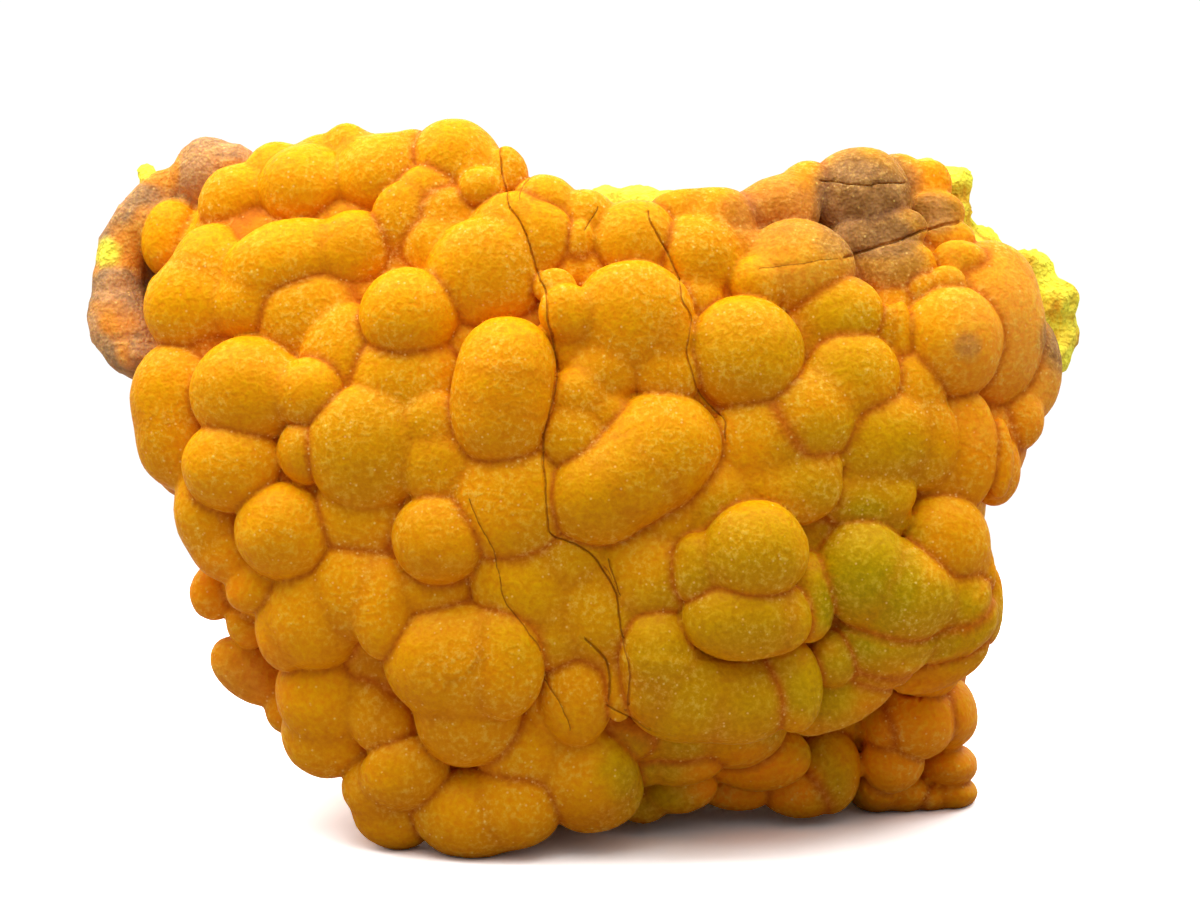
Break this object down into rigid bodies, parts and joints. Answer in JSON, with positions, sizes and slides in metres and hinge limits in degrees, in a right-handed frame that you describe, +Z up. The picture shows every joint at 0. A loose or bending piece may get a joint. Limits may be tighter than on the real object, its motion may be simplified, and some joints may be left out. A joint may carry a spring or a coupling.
{
  "type": "smithsonite specimen",
  "caption": "Botryoidal smithsonite specimen: waxy orange-yellow rounded crust on rough yellow matrix, resting on its base.",
  "frame": {"origin": "middle of the bounding box's lowest face, on the surface that the specimen rests on", "axes": "+Z up, -Y out of the rounded crust's face, +X to the right of someone looking at that face"},
  "size_m": [0.101, 0.0487, 0.0708],
  "materials": {
    "smithsonite": "waxy, translucent at its edges"
  },
  "bodies": {
    "root": {"smithsonite": "smithsonite"}
  },
  "joints": []
}
